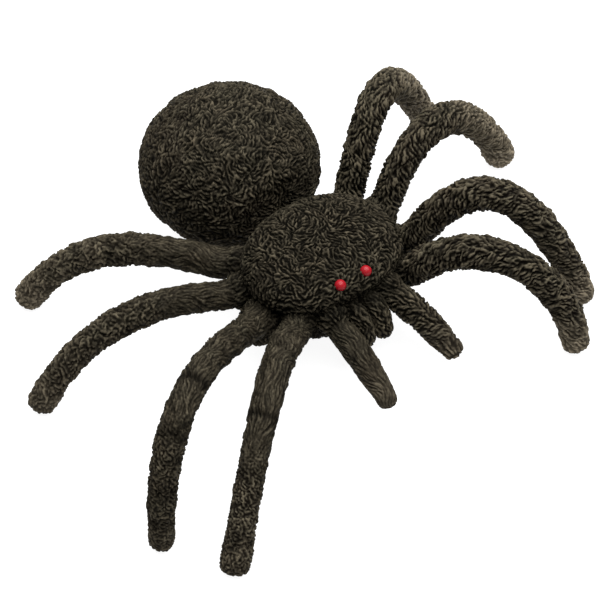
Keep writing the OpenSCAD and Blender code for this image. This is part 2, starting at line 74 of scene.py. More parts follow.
# %% Camera
SENSOR_WIDTH, LENS = 36.0, 126.67
CAMERA_PLACE, CAMERA_TILT, CAMERA_TURN = [-325.34, -414.09, 575.83], 43, -37
camera_data = bpy.data.cameras.new("photo_camera")
camera_data.sensor_width = SENSOR_WIDTH
camera_data.lens = LENS
camera = bpy.data.objects.new("photo_camera", camera_data)
camera.location = in_frame(CAMERA_PLACE)
camera.rotation_euler = (math.radians(CAMERA_TILT), 0, math.radians(CAMERA_TURN))
bpy.context.scene.collection.objects.link(camera)
bpy.context.scene.camera = camera
print("camera at", [round(v, 3) for v in camera.location])

# %% [markdown]
# ## Building a closed skin
# Each rubber form is one smooth surface of two parameters: u runs from one end of the form to the
# other, and v runs once round it. Sampling it on a grid gives rings, and a fan closes each end.
# This could be sculpted by hand, but a formula keeps every leg the same kind of thing.

# %% Closed skins and their frames
WAVE_SPREAD = (0.7, 1.4)


def closed_skin(surface, rows, columns):
    """Points, triangles, u, v and sense of surface(u, v): rings at even u, each joined to the next by
    pairs of triangles, and a fan to the single point at each end. Faces are turned outwards, and
    sense is -1 where they had to be turned over."""
    u, v = np.meshgrid(np.linspace(0, 1, rows + 2)[1:-1], np.arange(columns) / columns, indexing="ij")
    u = np.concatenate([[0.0], u.ravel(), [1.0]])
    v = np.concatenate([[0.0], v.ravel(), [0.0]])
    points = surface(u, v)
    index = 1 + np.arange(rows * columns).reshape(rows, columns)
    beside = np.roll(index, -1, axis=1)
    last = np.full(columns, len(points) - 1)
    triangles = np.concatenate([
        np.stack([np.zeros(columns, int), index[0], beside[0]], -1),
        np.stack([index[:-1], index[1:], beside[:-1]], -1).reshape(-1, 3),
        np.stack([beside[:-1], index[1:], beside[1:]], -1).reshape(-1, 3),
        np.stack([last, beside[-1], index[-1]], -1)])
    a, b, c = (points[triangles[:, k]] for k in range(3))
    sense = np.sign((a * np.cross(b, c)).sum())
    return points, triangles if sense > 0 else triangles[:, ::-1], u, v, sense


def unit(vectors):
    """Each vector divided by its own length."""
    return vectors / np.maximum(np.linalg.norm(vectors, axis=-1, keepdims=True), 1e-12)


def frame_on(surface, u, v, sense, step=0.002):
    """Outward normal and direction of growing u at each (u, v), by small differences."""
    u = np.clip(u, 2 * step, 1 - 2 * step)
    along = surface(u + step, v) - surface(u - step, v)
    around = surface(u, v + step) - surface(u, v - step)
    return unit(np.cross(along, around)) * sense, unit(along)


def waves(points, length, seed, count=9):
    """A smooth random field: sines of about this wavelength in random directions, added up."""
    rng = np.random.default_rng(seed)
    ways = unit(rng.normal(size=(count, 3))) * rng.uniform(*WAVE_SPREAD, (count, 1))
    return np.sin(points @ (2 * np.pi / length * ways).T
                  + rng.uniform(0, 2 * np.pi, count)).sum(-1) / math.sqrt(count)


print("skins are closed with a fan at each end")

# %% [markdown]
# ## Moulded fur
# The real fur is part of the rubber: short wavy ridges less than a millimetre wide that lie side by
# side, with black grooves between. Hair particles would float above the surface, and a bump map
# would leave the outline smooth. So the skin itself is raised. Thousands of short trains of waves
# are scattered in space, each lying the way the fur is combed, and where they are added up their
# crests make ridges that run on a little, fork and end. They need no unwrapping and show no seam.
# A value named ridge is near 0 in the grooves and near 1 on the crests, for the material to read.

# %% Ridges of fur
# Six chances for each train of waves: its place in its cell, its turn, its phase and its pitch
CHANCES = np.random.default_rng(7).random((4096, 6))
CELL_MIXERS = np.array([73856093, 19349663, 83492791])
SEED_STEP, TRAIN_STEP, DROPPED_BITS = 31, 977, 4
NEIGHBOURS = np.stack(np.meshgrid(*[(-1, 0, 1)] * 3), -1).reshape(-1, 3)
TRAINS_OVER, TRAIN_WIDTH = 7.0, 0.8
LEAST_PITCH, PITCH_SPREAD = 0.7, 0.6
STEEPNESS, LIFT = 2.2, -0.05
# Matted fur, fine and coarse: the ridges' pitch, length and height, how far they stray and how dark
# the grooves are
MATTED, TUFTED = (1.45, 1.2, 0.8, 1.5, 0.85), (1.75, 1.5, 1.05, 1.2, 0.75)


def ridges(points, normal, way, pitch, long, unruly, seed):
    """Height of the fur at each point, 0 to 1. A train of waves a away along it, b across it and d
    deep adds cos(2 pi b / its pitch + its phase) (1 - r^2)^2, where r^2 = (a/long)^2 + (b/broad)^2
    + (d/broad)^2 and r < 1. The sum is divided by its spread and squeezed by 1 / (1 + exp(-x)).
    A cell of the lattice is as long as a train, so the 27 cells about a point hold all that reach it."""
    side = np.cross(normal, way)
    broad = TRAIN_WIDTH * pitch
    cell = max(long, broad)
    number = max(1, round(TRAINS_OVER * cell ** 3 / (4 / 3 * np.pi * long * broad ** 2)))
    home = np.floor(points / cell).astype(int)
    total = np.zeros(len(points))
    for neighbour in NEIGHBOURS:
        cells = (home + neighbour + SEED_STEP * seed) * CELL_MIXERS
        mixed = np.bitwise_xor.reduce(cells, axis=-1) >> DROPPED_BITS
        for train in range(number):
            pick = CHANCES[(mixed + TRAIN_STEP * train) % len(CHANCES)]
            away = points - (home + neighbour + pick[:, :3]) * cell
            along, across, deep = ((away * q).sum(-1) for q in (way, side, normal))
            turn = unruly * (2 * pick[:, 3] - 1)
            a = along * np.cos(turn) + across * np.sin(turn)
            b = across * np.cos(turn) - along * np.sin(turn)
            bell = np.maximum(1 - (a / long) ** 2 - (b ** 2 + deep ** 2) / broad ** 2, 0) ** 2
            own_pitch = pitch * (LEAST_PITCH + PITCH_SPREAD * pick[:, 5])
            total += bell * np.cos(2 * np.pi * (b / own_pitch + pick[:, 4]))
    return 1 / (1 + np.exp(-STEEPNESS * (total / total.std() + LIFT)))


def furry(surface, rows, columns, comb, seed, pitch=1.6, long=1.7, tall=1.0, unruly=0.7, dark=1.0,
          calm=None, floor=None, shade=None, matted=None):
    """A skin raised by its fur: returns points, triangles and ridge. comb(place, v, along, aside) is
    the direction in which the fur lies, from the directions along and round the form. Ridges
    stand tall millimetres high, times calm(place) where that is given, and dark is how far the
    ridge value falls in the grooves, a painted shade; it also falls where calm is below a half,
    a painted shade where the fur is held low. It is multiplied by shade(u) where that is given.
    Where matted is given, it is a function and a kind of fur, and the fur turns into that kind by
    the function's share at u. No point is below the floor."""
    points, triangles, u, v, sense = closed_skin(surface, rows, columns)
    normal, along = frame_on(surface, u, v, sense)
    way = comb(points, v, along, np.cross(normal, along))
    way = unit(way - (way * normal).sum(-1, keepdims=True) * normal)
    height = ridges(points, normal, way, pitch, long, unruly, seed)
    if matted is not None:
        part_at, (short_pitch, short, low, wild, deep) = matted
        part = part_at(u)
        height += part * (ridges(points, normal, way, short_pitch, short, wild, seed + 1) - height)
        tall, dark = tall + (low - tall) * part, dark + (deep - dark) * part
    share = np.ones(len(points)) if calm is None else calm(points)
    points = points + normal * (tall * share * height)[:, None]
    if floor is not None:
        points[:, 2] = np.maximum(points[:, 2], floor)
    light = 1.0 if shade is None else shade(u)
    return points, triangles, (1 - dark * (1 - height)) * np.minimum(2 * share, 1) * light


def swirl(place, length, seed):
    """A random vector at each place that turns slowly from one place to the next."""
    return np.stack([waves(place, length, seed + k) for k in range(3)], -1)


def add_piece(name, points, triangles, values, material):
    """One mesh object at the origin from arrays of points and triangles, with a named number at
    each point for the material to read."""
    mesh = bpy.data.meshes.new(name)
    mesh.vertices.add(len(points))
    mesh.vertices.foreach_set("co", in_frame(points).astype(np.float32).ravel())
    mesh.loops.add(triangles.size)
    mesh.loops.foreach_set("vertex_index", triangles.astype(np.int32).ravel())
    mesh.polygons.add(len(triangles))
    mesh.polygons.foreach_set("loop_start", np.arange(0, triangles.size, 3, dtype=np.int32))
    mesh.polygons.foreach_set("use_smooth", np.ones(len(triangles), bool))
    for label, numbers in values.items():
        layer = mesh.attributes.new(label, "FLOAT", "POINT")
        layer.data.foreach_set("value", np.asarray(numbers, np.float32))
    mesh.update()
    mesh.validate()
    mesh.materials.append(material)
    piece = bpy.data.objects.new(name, mesh)
    bpy.context.scene.collection.objects.link(piece)
    print(f"{name}: {len(points)} points, {len(triangles)} triangles")
    return piece


print("fur: trains of waves drawn from", len(CHANCES), "rows of chances")

# %% [markdown]
# ## Materials
# The toy is moulded in brownish black rubber: satin on the crests of the fur, turning from brown
# to olive in broad patches. The grooves are painted nearly black as shade, and the feet and some
# shins are paler, partly by wear and partly as painted light. A material is a small graph of
# nodes, and sums are easier to read than wires drawn one by one.

# %% A socket that can be added and multiplied
class Wire:
    """A value in a material: a node tree with one of its output sockets."""

    def __init__(self, tree, socket=None):
        self.tree, self.socket = tree, socket

    def node(self, kind, settings=None, sockets=None, output=None):
        """Adds a node, sets its settings, fills its sockets with numbers or wires, and returns
        the wire of the named output, or of the first one in use."""
        made = self.tree.nodes.new(kind)
        for name, value in (settings or {}).items():
            setattr(made, name, value)
        for name, value in (sockets or {}).items():
            into = made.inputs[name] if isinstance(name, int) else next(
                i for i in made.inputs if i.enabled and i.name == name)
            if isinstance(value, Wire):
                self.tree.links.new(value.socket, into)
            else:
                into.default_value = value
        outputs = [o for o in made.outputs if o.enabled and output in (None, o.name)]
        return Wire(self.tree, outputs[0] if outputs else None)

    def maths(self, operation, first, second):
        return self.node("ShaderNodeMath", {"operation": operation}, {0: first, 1: second})

    def __add__(self, other):
        return self.maths("ADD", self, other)

    __radd__ = __add__

    def __sub__(self, other):
        return self.maths("SUBTRACT", self, other)

    def __rsub__(self, other):
        return self.maths("SUBTRACT", other, self)

    def __mul__(self, other):
        return self.maths("MULTIPLY", self, other)

    __rmul__ = __mul__


def blank_material(name):
    """A new material with an empty tree, and a wire to start from."""
    material = bpy.data.materials.new(name)
    material.use_nodes = True
    material.node_tree.nodes.clear()
    return material, Wire(material.node_tree)


def finish_material(start, sockets):
    """Ends a tree in one Principled shader with these sockets."""
    shader = start.node("ShaderNodeBsdfPrincipled", None, sockets)
    start.node("ShaderNodeOutputMaterial", None, {"Surface": shader})


def colour_mix(start, share, first, second):
    """The colour share of the way from the first to the second."""
    return start.node("ShaderNodeMix", {"data_type": "RGBA"},
                      {"Factor": share, "A": first, "B": second})


def noise(start, scale, detail=2.0):
    """Soft random patches on the object's own coordinates, in features to the metre."""
    coords = start.node("ShaderNodeTexCoord", output="Object")
    return start.node("ShaderNodeTexNoise", None,
                      {"Vector": coords, "Scale": scale, "Detail": detail}, "Fac")


def strong(soft):
    """Noise stretched so that its middle range goes from 0 to 1."""
    return soft.node("ShaderNodeMapRange", None, {"Value": soft, "From Min": 0.3, "From Max": 0.7})


print("a wire can be added, subtracted and multiplied")

# %% The four finishes
# The noise's features to the metre
PATCHES, CLUMPS, GRAIN, CLOUDS, SPARKS, STREAKS = 110.0, 260.0, 1000.0, 700.0, 1500.0, 900.0
CREST_BROWN, CREST_OLIVE = (0.07, 0.056, 0.037, 1), (0.058, 0.0525, 0.0357, 1)
# The grooves' near-black colour is painted shade
GROOVE = (0.0006, 0.0005, 0.0003, 1)
# Paler crest and groove where the rubber is rubbed, partly wear and partly painted light
WORN_AND_LIT_CREST, WORN_AND_LIT_GROOVE = (0.2, 0.168, 0.12, 1), (0.065, 0.054, 0.038, 1)
BEAD_DARK, BEAD_LIGHT = (0.17, 0.004, 0.007, 1), (0.235, 0.0065, 0.011, 1)
PLASTIC_DARK, PLASTIC_LIGHT = (0.012, 0.012, 0.013, 1), (0.03, 0.03, 0.032, 1)
STEEL_DARK, STEEL_LIGHT = (0.42, 0.43, 0.45, 1), (0.6, 0.61, 0.63, 1)


def fur_rubber():
    """Groove to crest colour by the ridge value squared, times clumps, times grain. The near-black
    groove colour is painted shade, and the ridge value also carries painted shade under the
    carapace's rim and in the creases. The crests turn from brown to olive in broad patches.
    Rubbing and painted light make both paler, more in some clumps than others."""
    material, start = blank_material("fur_rubber")
    ridge = start.node("ShaderNodeAttribute", {"attribute_name": "ridge"}, output="Fac")
    worn_and_lit = start.node("ShaderNodeAttribute", {"attribute_name": "worn_and_lit"}, output="Fac")
    patch = noise(start, PATCHES, 3.0)
    clump = strong(noise(start, CLUMPS))
    grain = noise(start, GRAIN, 3.0)
    worn_and_lit = worn_and_lit * (0.55 + 0.9 * clump)
    share = ridge * ridge * (0.4 + 0.8 * clump) * (0.4 + 1.2 * strong(grain))
    crest = colour_mix(start, patch, CREST_BROWN, CREST_OLIVE)
    crest = colour_mix(start, worn_and_lit, crest, WORN_AND_LIT_CREST)
    groove = colour_mix(start, worn_and_lit, GROOVE, WORN_AND_LIT_GROOVE)
    colour = colour_mix(start, share, groove, crest)
    bump = start.node("ShaderNodeBump", None,
                      {"Height": grain, "Strength": 0.3, "Distance": 0.0002})
    finish_material(start, {
        "Base Color": colour, "Roughness": 0.66 - 0.16 * ridge + 0.1 * patch, "Normal": bump,
        "Specular IOR Level": 0.03, "Specular Tint": (1.0, 0.9, 0.75, 1)})
    return material


def bead_gloss():
    """Red moulded bead: a little darker and lighter in soft clouds, with a faint gloss."""
    material, start = blank_material("red_bead")
    cloud = noise(start, CLOUDS)
    colour = colour_mix(start, cloud, BEAD_DARK, BEAD_LIGHT)
    finish_material(start, {
        "Base Color": colour, "Roughness": 0.25 + 0.1 * cloud, "Coat Weight": 0.04,
        "Coat Roughness": 0.05, "Specular IOR Level": 0.15})
    return material


def core_plastic():
    """Matt moulded plastic with a fine spark-eroded grain."""
    material, start = blank_material("core_plastic")
    grain = noise(start, SPARKS, 4.0)
    colour = colour_mix(start, grain, PLASTIC_DARK, PLASTIC_LIGHT)
    bump = start.node("ShaderNodeBump", None,
                      {"Height": grain, "Strength": 0.2, "Distance": 0.0001})
    finish_material(start, {"Base Color": colour, "Roughness": 0.5 + 0.25 * grain,
                            "Normal": bump, "Specular IOR Level": 0.15})
    return material


def pin_steel():
    """Drawn wire: bright, with streaks that the noise makes rougher."""
    material, start = blank_material("pin_steel")
    streak = noise(start, STREAKS, 5.0)
    colour = colour_mix(start, streak, STEEL_DARK, STEEL_LIGHT)
    finish_material(start, {"Base Color": colour, "Roughness": 0.25 + 0.25 * streak,
                            "Metallic": 1.0})
    return material


FINISHES = {"fur_rubber": fur_rubber(), "red_bead": bead_gloss(),
            "core_plastic": core_plastic(), "pin_steel": pin_steel()}
for subpart in frame["record"]["subparts"]:
    node = frame["nodes"][subpart["node"]]
    node.data.materials.clear()
    node.data.materials.append(FINISHES[subpart["material_slot"]])
print("finishes:", ", ".join(FINISHES))


# %% Furry pieces
DOME_MIDDLE = np.array([0.0, 4.0, 29.2])
DOME_HALF = np.array([30.0, 24.0])
BODY_POWER = 2.25
RIM_SHADE, SHADE_REACH, SHADE_RISE = 0.5, 0.3, 3.0


def rim_shade(points):
    """How light the ridges are: a painted shade of RIM_SHADE under the carapace's rim, and 1
    above it or a little way out from it. The way out is in shares of the body's squarish oval."""
    flat = np.abs((points[:, :2] - DOME_MIDDLE[:2]) / DOME_HALF)
    share = (flat ** BODY_POWER).sum(-1) ** (1 / BODY_POWER)
    light = np.interp(share, [1.0, 1.0 + SHADE_REACH], [RIM_SHADE, 1.0])
    above = np.clip((points[:, 2] - DOME_MIDDLE[2]) / SHADE_RISE, 0, 1)
    return light + (1 - light) * above


def add_fur(name, fur, worn_and_lit=None, tone=1.0):
    """A furry piece in the fur rubber. Its third argument is a function of the points, or none, that
    gives how pale they are, partly by rubbing and partly as painted light; tone is how light its
    ridges are in the open, away from the painted shade under the carapace's rim."""
    points, triangles, ridge = fur
    grey = np.zeros(len(points)) if worn_and_lit is None else worn_and_lit(points)
    light = tone * ridge * rim_shade(points)
    return add_piece(name, points, triangles, {"ridge": light, "worn_and_lit": grey},
                     FINISHES["fur_rubber"])


def swirled_comb(*turns):
    """Fur that swirls: the sum of random vectors that turn over each of these lengths, by its seed."""
    return lambda place, v, along, aside: sum(swirl(place, length, seed) for length, seed in turns)


print("ridges under the carapace's rim are", RIM_SHADE, "times as light")

# %% [markdown]
# ## Abdomen
# The abdomen is a big round egg, flattened where it meets the waist. Its fur swirls: it turns
# slowly from place to place as if it had been stroked about while the rubber was soft. A smooth
# field of random vectors gives that, with a lumpy skin below.

# %% Abdomen
EGG_MIDDLE = np.array([0.0, 61.5, 33.0])
EGG_HALF = np.array([34.0, 34.0, 28.0])
EGG_FACE, FACE_GAP, FACE_BULGE = 31.5, 0.5, 0.02
EGG_GRID, EGG_TONE, EGG_SEED = (225, 435), 0.93, 11
# Height, length and seed of each field of lumps
EGG_LUMPS = ((0.3, 13, 1), (0.2, 5, 2))
FUR_DEPTH = 0.7


def egg(u, v):
    """A polar egg about its middle: the angle 180 u from the waist to the rear, and 360 v round.
    It is lumpy by two fields of waves, and no point lies ahead of the flat face."""
    polar, turn = np.pi * u, 2 * np.pi * v
    way = np.stack(np.broadcast_arrays(np.sin(polar) * np.cos(turn), -np.cos(polar) + 0 * turn,
                                       np.sin(polar) * np.sin(turn)), -1)
    lumps = sum(high * waves(way * EGG_HALF, length, seed) for high, length, seed in EGG_LUMPS)
    points = EGG_MIDDLE + way * (EGG_HALF - FUR_DEPTH + lumps[..., None])
    points[..., 1] = np.maximum(points[..., 1], EGG_FACE + FACE_GAP + FACE_BULGE * points[..., 1])
    return points


egg_comb = swirled_comb((30, 3), (11, 400))
abdomen = add_fur("abdomen_fur", furry(egg, *EGG_GRID, egg_comb, EGG_SEED), tone=EGG_TONE)
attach(abdomen, "abdomen")
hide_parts("abdomen")

# %% [markdown]
# ## Carapace
# The upper body is a low squarish dome that rises towards its rear, and its rim hangs a little over
# the legs' roots. Its fur is a little shorter than the abdomen's and swirls in shorter turns. Two
# beads are the eyes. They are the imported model's own solids, and the fur closes round their rims.

# %% Carapace
DOME_HEIGHT, DOME_SLANT, DOME_POWER, DOME_PULL = 12.8, 0.33, 2.6, 0.11
BEAD_PLACES = np.array([[-6.6, -14.7, 35.65], [4.8, -14.7, 35.75]])
BEAD_SOCKET = 1.3
FLAT_SHARE, FORM_WAVE = 0.15, 6
CARAPACE_GRID, CARAPACE_TONE, CARAPACE_SEED = (150, 560), 0.82, 12
CARAPACE_LUMPS, CARAPACE_LUMP_SEED, UNDER_RIM = 0.3, 5, 0.1


def squared(values, power):
    """Sines or cosines raised to 2 / power with their sign kept, which squares an ellipse up."""
    return np.sign(values) * np.abs(values) ** (2 / power)


def even_profile(corners, samples=400):
    """A profile of [share, height] corners, resampled at even lengths along it, but with few samples
    on its last stretch, which is the flat face that closes the form."""
    corners = np.asarray(corners, float)
    scale = np.array([DOME_HALF[0], 1.0])
    steps = np.linalg.norm(np.diff(corners * scale, axis=0), axis=1)
    steps[-1] *= FLAT_SHARE
    length = np.concatenate([[0], np.cumsum(steps)]) / steps.sum()
    even = np.linspace(0, 1, samples)
    return even, np.stack([np.interp(even, length, corners[:, k]) for k in range(2)], -1)


def oval_form(corners, lumps, seed, slant=0.0, pull=0.0):
    """Squarish ovals whose share of the full oval and whose height follow a profile. Above its
    flat underside the form rises towards its rear by the slant. Its front is drawn in by the pull
    at the rim, and less the higher it is, so that the face over the mouth stands steep."""
    even, profile = even_profile(corners)

    def surface(u, v):
        share, height = (np.interp(u, even, profile[:, k]) for k in range(2))
        turn = 2 * np.pi * v
        across, back = (share * squared(wave, BODY_POWER) for wave in (np.cos(turn), np.sin(turn)))
        high = height * (1 + slant * back * (height > 0))
        low = np.clip(1 - height / DOME_HEIGHT, 0, 1)
        back = back * (1 - pull * np.maximum(-back, 0) * low)
        points = np.stack(np.broadcast_arrays(across, back, high), -1)
        points = DOME_MIDDLE + points * np.append(DOME_HALF, 1.0)
        points[..., 2] += lumps * waves(points, FORM_WAVE, seed) * share ** 0.5
        return points

    return surface


dome_turn = np.radians(np.linspace(90, 2, 30))
DOME_CORNERS = np.concatenate([
    np.stack([squared(np.cos(dome_turn), DOME_POWER),
              (DOME_HEIGHT - FUR_DEPTH) * squared(np.sin(dome_turn), DOME_POWER)], -1),
    [[1.01, 0.1], [1.012, -0.2], [1.0, -0.4], [0.98, -0.4], [0.97, 0.0], [0.0, 0.0]]])
DOME_CORNERS[0, 0] = 0.0
carapace_form = oval_form(DOME_CORNERS, CARAPACE_LUMPS, CARAPACE_LUMP_SEED, DOME_SLANT, DOME_PULL)
carapace_comb = swirled_comb((24, 6), (10, 410))


def carapace_calm(place):
    """The fur's share of its height: none under a bead or on the flat underside, and all of it from a
    millimetre outside the bead's socket. Where it is below a half the ridge value falls too, so the
    sockets and the underside are painted dark as shade."""
    gap = np.linalg.norm(place[:, None] - BEAD_PLACES, axis=-1).min(1)
    return np.clip(gap - BEAD_SOCKET, 0, 1) * (place[:, 2] > DOME_MIDDLE[2] - UNDER_RIM)


carapace = add_fur("carapace_fur", furry(
    carapace_form, *CARAPACE_GRID, carapace_comb, CARAPACE_SEED, pitch=1.7, long=1.7, tall=0.9,
    calm=carapace_calm), tone=CARAPACE_TONE)
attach(carapace, "root")
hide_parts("carapace")

# %% [markdown]
# ## Underside
# The sternum closes the body below. A plate would do for that, but light would fall between the
# legs, so its skin goes on up inside the ring of leg roots as a furry wall that hides the frame.

# %% Sternum
BELLY = 8.8 - DOME_MIDDLE[2]
LOWER_RIM = 18.8 - DOME_MIDDLE[2]
STERNUM_GRID, STERNUM_SEED, STERNUM_TOP = (100, 360), 13, 1.0
STERNUM_LUMPS, STERNUM_LUMP_SEED = 0.2, 8
bowl_turn = np.radians(np.linspace(88, 0, 16))
BOWL_CORNERS = np.concatenate([
    [[0.0, BELLY + 0.3]],
    np.stack([0.44 + 0.49 * np.cos(bowl_turn),
              LOWER_RIM + (BELLY + 0.3 - LOWER_RIM) * np.sin(bowl_turn)], -1),
    [[0.93, LOWER_RIM + 0.6], [0.91, LOWER_RIM + 1.2], [0.9, -2.0], [0.86, -0.6], [0.0, -0.6]]])
sternum_form = oval_form(BOWL_CORNERS, STERNUM_LUMPS, STERNUM_LUMP_SEED)


def sternum_calm(place):
    """No fur stands on the flat top."""
    return np.where(place[:, 2] > DOME_MIDDLE[2] - STERNUM_TOP, 0.0, 1.0)


sternum = add_fur("sternum_fur", furry(
    sternum_form, *STERNUM_GRID, carapace_comb, STERNUM_SEED, calm=sternum_calm))
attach(sternum, "root")
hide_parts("sternum")

# %% [markdown]
# ## Legs
# Each leg is one rubber sleeve over the bones inside. Its middle line is the arch of the solids: a
# level root, then one smooth curve to the foot. The sleeve starts as a ball on the hip pin. Eight
# legs could be modelled one by one, but a table of angles, lengths and widths keeps them a family.

# %% Leg lines
HIP_HEIGHT, SHOULDER, FOOT_HEIGHT = 24.0, 11.0, 4.7
BALL_RADIUS, ROOT_RADIUS = 4.7, 4.3
HIP_X, HIP_Y = (18.0, 26.0, 26.0, 19.5), (-7.5, 3.0, 13.0, 22.0)
# How the fur lies: its slant from the leg's line, the ridges' pitch, length and height, how far
# they stray and how dark the grooves are
COMBED, TANGLED = (0.3, 1.3, 3.4, 0.6, 0.25, 0.65), (0.9, 1.7, 1.8, 1.0, 0.7, 1.0)
# For each leg of a side: its angle from straight ahead, the foot's reach, the arch's rise from the
# root and its lean at the foot with the pull of each, the tufts' height, how light the ridges are,
# its creases (share of the arch, depth of the fold and of its painted shade), how pale its foot and
# shin are, partly by wear and partly as painted light, how its fur lies, and the share of the arch
# where that turns to a matted kind
SIDES = {
    "right": dict(sign=-1, yaw=(50, 58, 100, 129), reach=(99, 96, 82, 82), rise=(40, 33, 26, 20),
                  lean=(40, 86, 60, 58), bow_in=(44, 38, 28, 30), bow_out=(36, 74, 36, 36),
                  tuft=0.6, tone=(0.78, 0.8, 0.76, 0.81),
                  crease=(((0.52, 1.0), (0.715, 0.4), (0.94, 0.4)),
                          ((0.52, 1.0), (0.72, 0.7), (0.87, 0.5), (0.955, 0.5)),
                          ((0.5, 0.4),), ((0.5, 0.3),)),
                  wear_and_light=((0.06, 0.0), (0.12, 0.0), (0.35, 0.05), (0.58, 0.12)),
                  fur=(COMBED,) * 4,
                  mat=((0.55, MATTED), (0.55, MATTED), (0.2, TUFTED), (0.22, TUFTED))),
    "left": dict(sign=1, yaw=(38, 47, 100, 116), reach=(73, 75, 81, 84), rise=(56, 66, 68, 68),
                 lean=(80, 68, 64, 58), bow_in=(37, 57, 52, 60), bow_out=(37, 46, 42, 66),
                 tuft=1.0, tone=(1.12, 1.19, 1.16, 1.28), crease=(((0.5, 0.3),),) * 4,
                 wear_and_light=((0.8, 0.0), (0.7, 0.05), (1.0, 0.52), (0.8, 0.5)),
                 fur=(TANGLED,) * 4, mat=(None,) * 4)}
# Radius over the fur at these shares of the arch: shoulder, thigh, above the knee, the knee,
# below the knee, shin, ankle and foot
WIDTH_SHARES = (0.0, 0.22, 0.4, 0.495, 0.58, 0.75, 0.88, 1.0)
WIDTHS = {
    ("right", 1): (6.0, 5.9, 5.6, 5.4, 5.2, 4.9, 4.9, 5.4),
    ("right", 2): (5.7, 5.4, 5.4, 5.4, 5.3, 5.4, 4.9, 4.6),
    ("right", 3): (5.6, 5.5, 5.4, 5.5, 5.2, 5.0, 4.9, 5.2),
    ("right", 4): (6.1, 5.8, 6.0, 5.9, 5.7, 5.4, 5.1, 5.7),
    ("left", 1): (6.0, 6.1, 6.1, 5.8, 5.7, 5.6, 5.3, 5.5),
    ("left", 2): (6.0, 6.0, 6.1, 5.9, 5.8, 5.6, 5.3, 5.3),
    ("left", 3): (5.8, 5.7, 6.2, 6.3, 6.2, 5.8, 5.5, 6.5),
    ("left", 4): (5.8, 5.7, 6.0, 6.1, 6.0, 5.7, 5.5, 5.8)}
KNEE_SHARE, TUFT_ROWS, TUFTS_ROUND, PLAIN_ROWS = 0.5, 11, 6, 2
CREASE, CREASE_SHADE, KNEE_GUARD, GUARD_SHARE = 0.015, 0.5, 4.8, 0.06
MATTED_OVER, MATTED_LIGHT = 0.2, 0.22
ARCH_SAMPLES, ROOT_SAMPLES, PAST_SAMPLES, LINE_STEP, FOOT_PAST = 700, 100, 40, 0.15, 5.0
LINE_BELL, WIDTH_BELL, GUARD_BELL = 22, 14, 6
START_HELD, SLIM_FROM, SLIM_TO, ROOT_OPENS = 6, 5.0, 9.0, 5


def smooth(values, sigma):
    """A running average under a bell curve, with the ends held."""
    reach = int(3 * sigma)
    bell = np.exp(-0.5 * (np.arange(-reach, reach + 1) / sigma) ** 2)
    padded = np.pad(values, reach, mode="edge")
    return np.convolve(padded, bell / bell.sum(), "valid")


def arch(side, n, t):
    """The leg's cubic curve at share t, as [out, up], from its four control points."""
    k, s = n - 1, SIDES[side]
    rise, lean = math.radians(s["rise"][k]), math.radians(s["lean"][k])
    start = np.array([SHOULDER, HIP_HEIGHT])
    end = np.array([s["reach"][k], FOOT_HEIGHT])
    bow_in = start + s["bow_in"][k] * np.array([math.cos(rise), math.sin(rise)])
    bow_out = end + s["bow_out"][k] * np.array([-math.cos(lean), math.sin(lean)])
    t = np.asarray(t, float)[..., None]
    return ((1 - t) ** 3 * start + 3 * t * (1 - t) ** 2 * bow_in
            + 3 * t * t * (1 - t) * bow_out + t ** 3 * end)


def leg_heading(side, n):
    """The leg's direction on the floor, its sideways direction and its hip pin."""
    s, k = SIDES[side], n - 1
    yaw = math.radians(s["yaw"][k])
    heading = np.array([s["sign"] * math.sin(yaw), -math.cos(yaw), 0.0])
    return heading, np.cross([0, 0, 1], heading), np.array([s["sign"] * HIP_X[k], HIP_Y[k], 0.0])


def tuft_crests(share, tuft):
    """Rows of tufts along the thigh and then the shin: half the tuft's height times a cosine that
    turns over at each row, faded out beside the knee and at both ends."""
    row = TUFT_ROWS * np.where(share < KNEE_SHARE, share, share - KNEE_SHARE) / KNEE_SHARE
    last = np.where(share < KNEE_SHARE, TUFT_ROWS - PLAIN_ROWS, TUFT_ROWS - 1)
    fade = np.clip(row - PLAIN_ROWS + 1, 0, 1) * np.clip(last + 1 - row, 0, 1)
    return tuft / 2 * np.cos(np.pi * row) * fade


